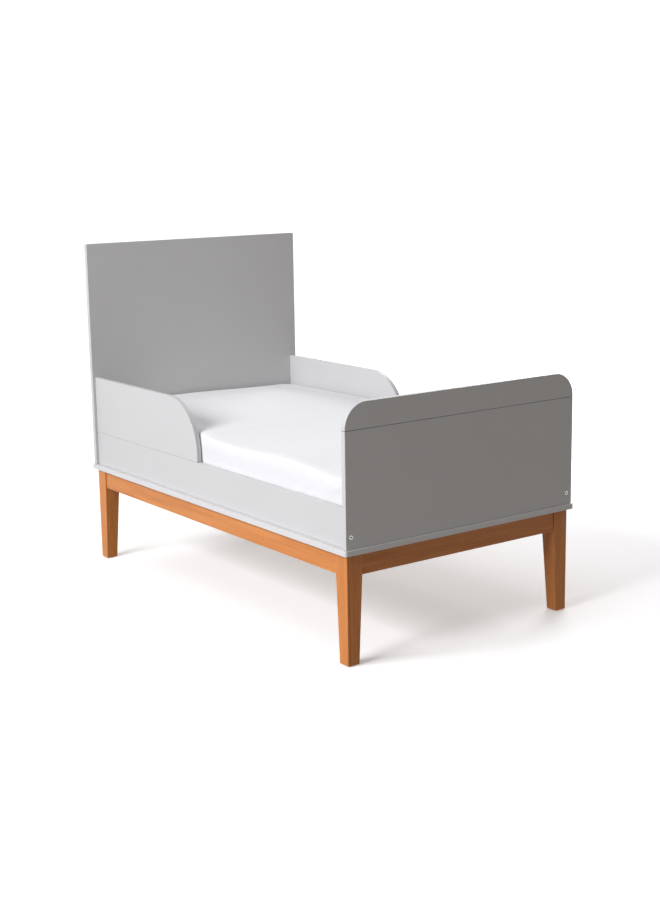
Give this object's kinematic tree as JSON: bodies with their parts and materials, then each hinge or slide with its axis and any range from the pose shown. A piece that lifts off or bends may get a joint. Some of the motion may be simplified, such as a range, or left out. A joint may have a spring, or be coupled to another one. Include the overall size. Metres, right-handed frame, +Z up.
{
  "type": "toddler bed",
  "caption": "Low toddler bed: white board headboard, footboard, side rails and half-length guards on a stained wooden base with tapered legs, with slats, mattress and fitted sheet.",
  "frame": {"origin": "on the floor, at the middle of the bed's length and width", "axes": "+X towards the foot, +Y towards the bed's right side, +Z up"},
  "size_m": [1.355, 0.79, 1.005],
  "materials": {
    "painted_board": "satin white lacquer on MDF",
    "painted_plinth": "satin white lacquer on MDF",
    "stained_wood": "caramel stained beech under clear satin lacquer",
    "plain_wood": "planed pine, uncoated",
    "dowel_wood": "fluted beech dowel",
    "plated_steel": "nickel plated",
    "glide_plastic": "moulded nylon",
    "mattress_ticking": "woven ticking over foam",
    "sheet_cotton": "white cotton percale, elasticated hem"
  },
  "bodies": {
    "bed": {"apron_foot": "stained_wood", "apron_head": "stained_wood", "apron_left": "stained_wood", "apron_right": "stained_wood", "barrel_nut_foot_left": "plated_steel", "barrel_nut_foot_right": "plated_steel", "barrel_nut_head_left": "plated_steel", "barrel_nut_head_right": "plated_steel", "corner_block_foot_left": "plain_wood", "corner_block_foot_right": "plain_wood", "corner_block_head_left": "plain_wood", "corner_block_head_right": "plain_wood", "end_bolt_foot_left": "plated_steel", "end_bolt_foot_right": "plated_steel", "end_bolt_head_left": "plated_steel", "end_bolt_head_right": "plated_steel", "footboard_dowel_1": "dowel_wood", "footboard_dowel_2": "dowel_wood", "footboard_dowel_3": "dowel_wood", "footboard_panel": "painted_board", "footboard_top": "painted_board", "glide_foot_left": "glide_plastic", "glide_foot_right": "glide_plastic", "glide_head_left": "glide_plastic", "glide_head_right": "glide_plastic", "guard_dowel_left_1": "dowel_wood", "guard_dowel_left_2": "dowel_wood", "guard_dowel_right_1": "dowel_wood", "guard_dowel_right_2": "dowel_wood", "guard_left": "painted_board", "guard_right": "painted_board", "headboard": "painted_board", "ledger_left": "plain_wood", "ledger_right": "plain_wood", "leg_bolt_foot_left": "plated_steel", "leg_bolt_foot_right": "plated_steel", "leg_bolt_head_left": "plated_steel", "leg_bolt_head_right": "plated_steel", "leg_foot_left": "stained_wood", "leg_foot_right": "stained_wood", "leg_head_left": "stained_wood", "leg_head_right": "stained_wood", "plinth_foot": "painted_plinth", "plinth_head": "painted_plinth", "plinth_left": "painted_plinth", "plinth_right": "painted_plinth", "side_rail_left": "painted_board", "side_rail_right": "painted_board", "slat_01": "plain_wood", "slat_02": "plain_wood", "slat_03": "plain_wood", "slat_04": "plain_wood", "slat_05": "plain_wood", "slat_06": "plain_wood", "slat_07": "plain_wood", "slat_08": "plain_wood", "slat_09": "plain_wood", "slat_10": "plain_wood"},
    "bedding": {"mattress": "mattress_ticking", "fitted_sheet": "sheet_cotton"}
  },
  "joints": [
    {"name": "mattress_lift", "type": "slide", "parent": "bed", "child": "bedding", "axis": [0, 0, 1], "range_m": [0, 0.66]}
  ]
}
